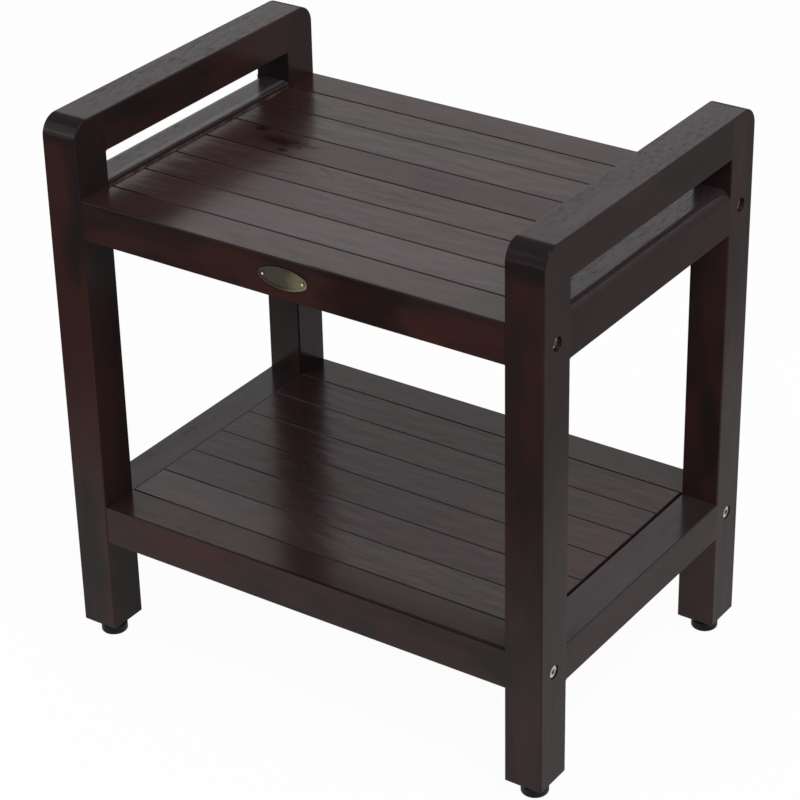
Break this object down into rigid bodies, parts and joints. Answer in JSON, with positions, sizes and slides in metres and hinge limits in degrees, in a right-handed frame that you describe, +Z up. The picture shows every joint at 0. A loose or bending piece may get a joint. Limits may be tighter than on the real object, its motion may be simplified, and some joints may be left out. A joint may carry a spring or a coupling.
{
  "type": "shower bench",
  "caption": "Free-standing teak shower bench: slatted seat between two grab-arm side frames, slatted lower shelf, hex-socket bolts and adjustable round feet",
  "frame": {"origin": "on the floor under the middle of the bench", "axes": "+Z up, -Y the front with the oval plate, +X the viewer's right when facing the front"},
  "size_m": [0.508, 0.3474, 0.531],
  "materials": {
    "teak": "dark red-brown stain under a satin oil finish",
    "beech": "bare, fluted dowel stock",
    "steel": "stainless, lightly brushed",
    "brass": "machined",
    "aged_brass": "dull, aged",
    "rubber": "moulded, matt"
  },
  "bodies": {
    "bench": {"leg_front_left": "teak", "leg_front_right": "teak", "leg_rear_left": "teak", "leg_rear_right": "teak", "arm_rail_left": "teak", "arm_rail_right": "teak", "side_rail_left": "teak", "side_rail_right": "teak", "lower_side_rail_left": "teak", "lower_side_rail_right": "teak", "seat_front_rail": "teak", "seat_rear_rail": "teak", "shelf_front_rail": "teak", "shelf_rear_rail": "teak", "seat_slat_1": "teak", "seat_slat_2": "teak", "seat_slat_3": "teak", "seat_slat_4": "teak", "seat_slat_5": "teak", "seat_slat_6": "teak", "shelf_slat_1": "teak", "shelf_slat_2": "teak", "shelf_slat_3": "teak", "shelf_slat_4": "teak", "shelf_slat_5": "teak", "shelf_slat_6": "teak", "seat_batten_left": "teak", "seat_batten_middle": "teak", "seat_batten_right": "teak", "shelf_batten_left": "teak", "shelf_batten_middle": "teak", "shelf_batten_right": "teak", "frame_bolts": "steel", "barrel_nuts": "steel", "seat_slat_screws": "steel", "shelf_slat_screws": "steel", "rail_dowels": "beech", "leg_inserts": "brass", "badge_plate": "aged_brass", "badge_pins": "aged_brass"},
    "stud_front_left": {"foot_stud_front_left": "steel"},
    "pad_front_left": {"foot_pad_front_left": "rubber"},
    "stud_front_right": {"foot_stud_front_right": "steel"},
    "pad_front_right": {"foot_pad_front_right": "rubber"},
    "stud_rear_left": {"foot_stud_rear_left": "steel"},
    "pad_rear_left": {"foot_pad_rear_left": "rubber"},
    "stud_rear_right": {"foot_stud_rear_right": "steel"},
    "pad_rear_right": {"foot_pad_rear_right": "rubber"}
  },
  "joints": [
    {"name": "foot_height_front_left", "type": "slide", "parent": "bench", "child": "stud_front_left", "axis": [0, 0, -1], "range_m": [-0.005, 0.006]},
    {"name": "foot_turn_front_left", "type": "hinge", "parent": "stud_front_left", "child": "pad_front_left", "pos_m": [-0.2355, -0.15325, 0], "axis": [0, 0, -1], "range_deg": [-1530, 1820]},
    {"name": "foot_height_front_right", "type": "slide", "parent": "bench", "child": "stud_front_right", "axis": [0, 0, -1], "range_m": [-0.005, 0.006]},
    {"name": "foot_turn_front_right", "type": "hinge", "parent": "stud_front_right", "child": "pad_front_right", "pos_m": [0.2355, -0.15325, 0], "axis": [0, 0, -1], "range_deg": [-1530, 1820]},
    {"name": "foot_height_rear_left", "type": "slide", "parent": "bench", "child": "stud_rear_left", "axis": [0, 0, -1], "range_m": [-0.005, 0.006]},
    {"name": "foot_turn_rear_left", "type": "hinge", "parent": "stud_rear_left", "child": "pad_rear_left", "pos_m": [-0.2355, 0.15325, 0], "axis": [0, 0, -1], "range_deg": [-1530, 1820]},
    {"name": "foot_height_rear_right", "type": "slide", "parent": "bench", "child": "stud_rear_right", "axis": [0, 0, -1], "range_m": [-0.005, 0.006]},
    {"name": "foot_turn_rear_right", "type": "hinge", "parent": "stud_rear_right", "child": "pad_rear_right", "pos_m": [0.2355, 0.15325, 0], "axis": [0, 0, -1], "range_deg": [-1530, 1820]}
  ],
  "couplings": [
    {"joint": "foot_turn_front_left", "follows": "foot_height_front_left", "rad_per_m": 5026.5},
    {"joint": "foot_turn_front_right", "follows": "foot_height_front_right", "rad_per_m": 5026.5},
    {"joint": "foot_turn_rear_left", "follows": "foot_height_rear_left", "rad_per_m": 5026.5},
    {"joint": "foot_turn_rear_right", "follows": "foot_height_rear_right", "rad_per_m": 5026.5}
  ]
}
